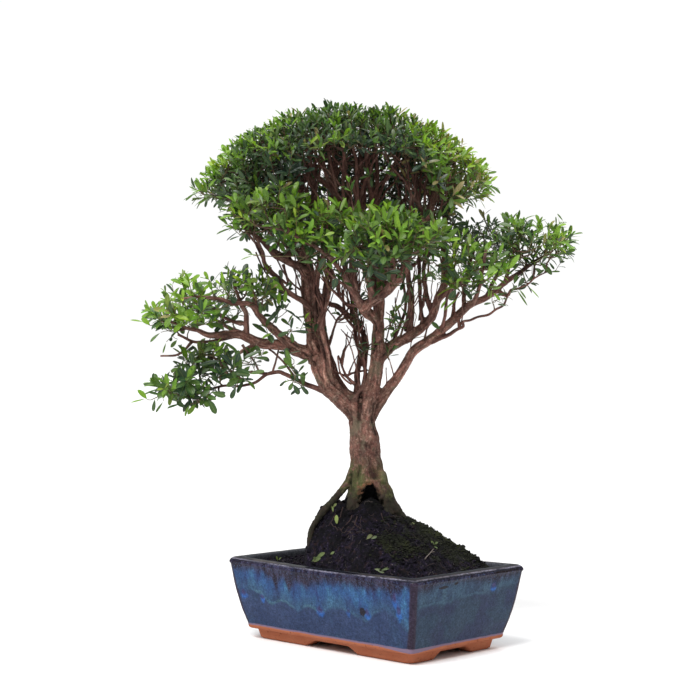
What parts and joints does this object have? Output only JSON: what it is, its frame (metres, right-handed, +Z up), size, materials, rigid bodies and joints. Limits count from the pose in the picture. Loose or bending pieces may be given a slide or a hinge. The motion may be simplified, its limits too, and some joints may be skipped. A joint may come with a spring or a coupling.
{
  "type": "myrtle bonsai",
  "caption": "Small-leaved bonsai tree in a rectangular glazed pot: forked trunk on a mossy soil mound, domed crown and layered side branches.",
  "frame": {"origin": "on the surface it stands on, under the middle of the whole object's bounding box", "axes": "+Z up; X along the pot's long side; the tree's front faces between +X and -Y"},
  "size_m": [0.408, 0.4044, 0.6378],
  "materials": {
    "pot_glaze": "glossy blue drip glaze over terracotta, dark brown at the rim, bare terracotta foot",
    "soil": "damp crumbly dark potting soil, matte",
    "bark": "matte flaking pinkish-brown bark, green algae low on the trunk",
    "moss": "fine dark green moss, matte",
    "leaf": "semi-gloss evergreen leaves, lime green at the tips",
    "fallen_leaf": "dry yellow-green leaf, matte",
    "dead_twig": "pale dry twig, matte",
    "screen": "black plastic mesh",
    "wire": "dull bent wire"
  },
  "bodies": {
    "root": {"pot": "pot_glaze", "soil": "soil", "trunk_and_branches": "bark", "moss_right": "moss", "moss_front": "moss", "drain_screen_left": "screen", "drain_screen_right": "screen", "screen_wire_left": "wire", "screen_wire_right": "wire", "foliage_crown_left": "leaf", "foliage_crown_top": "leaf", "foliage_crown_right": "leaf", "foliage_crown_front": "leaf", "foliage_crown_back": "leaf", "foliage_shelf_left": "leaf", "foliage_shelf_right": "leaf", "foliage_back_left": "leaf", "foliage_back_right": "leaf", "foliage_right_tip": "leaf", "foliage_right_inner": "leaf", "foliage_right_back": "leaf", "foliage_left_upper_tip": "leaf", "foliage_left_upper_inner": "leaf", "foliage_left_back": "leaf", "foliage_left_lower_tip": "leaf", "foliage_left_lower_inner": "leaf", "fallen_leaf_1": "fallen_leaf", "fallen_leaf_2": "fallen_leaf", "fallen_leaf_3": "fallen_leaf", "fallen_leaf_4": "fallen_leaf", "fallen_leaf_5": "fallen_leaf", "fallen_leaf_6": "fallen_leaf", "fallen_leaf_7": "fallen_leaf", "fallen_leaf_8": "fallen_leaf", "fallen_leaf_9": "fallen_leaf", "dead_twig": "dead_twig"}
  },
  "joints": []
}
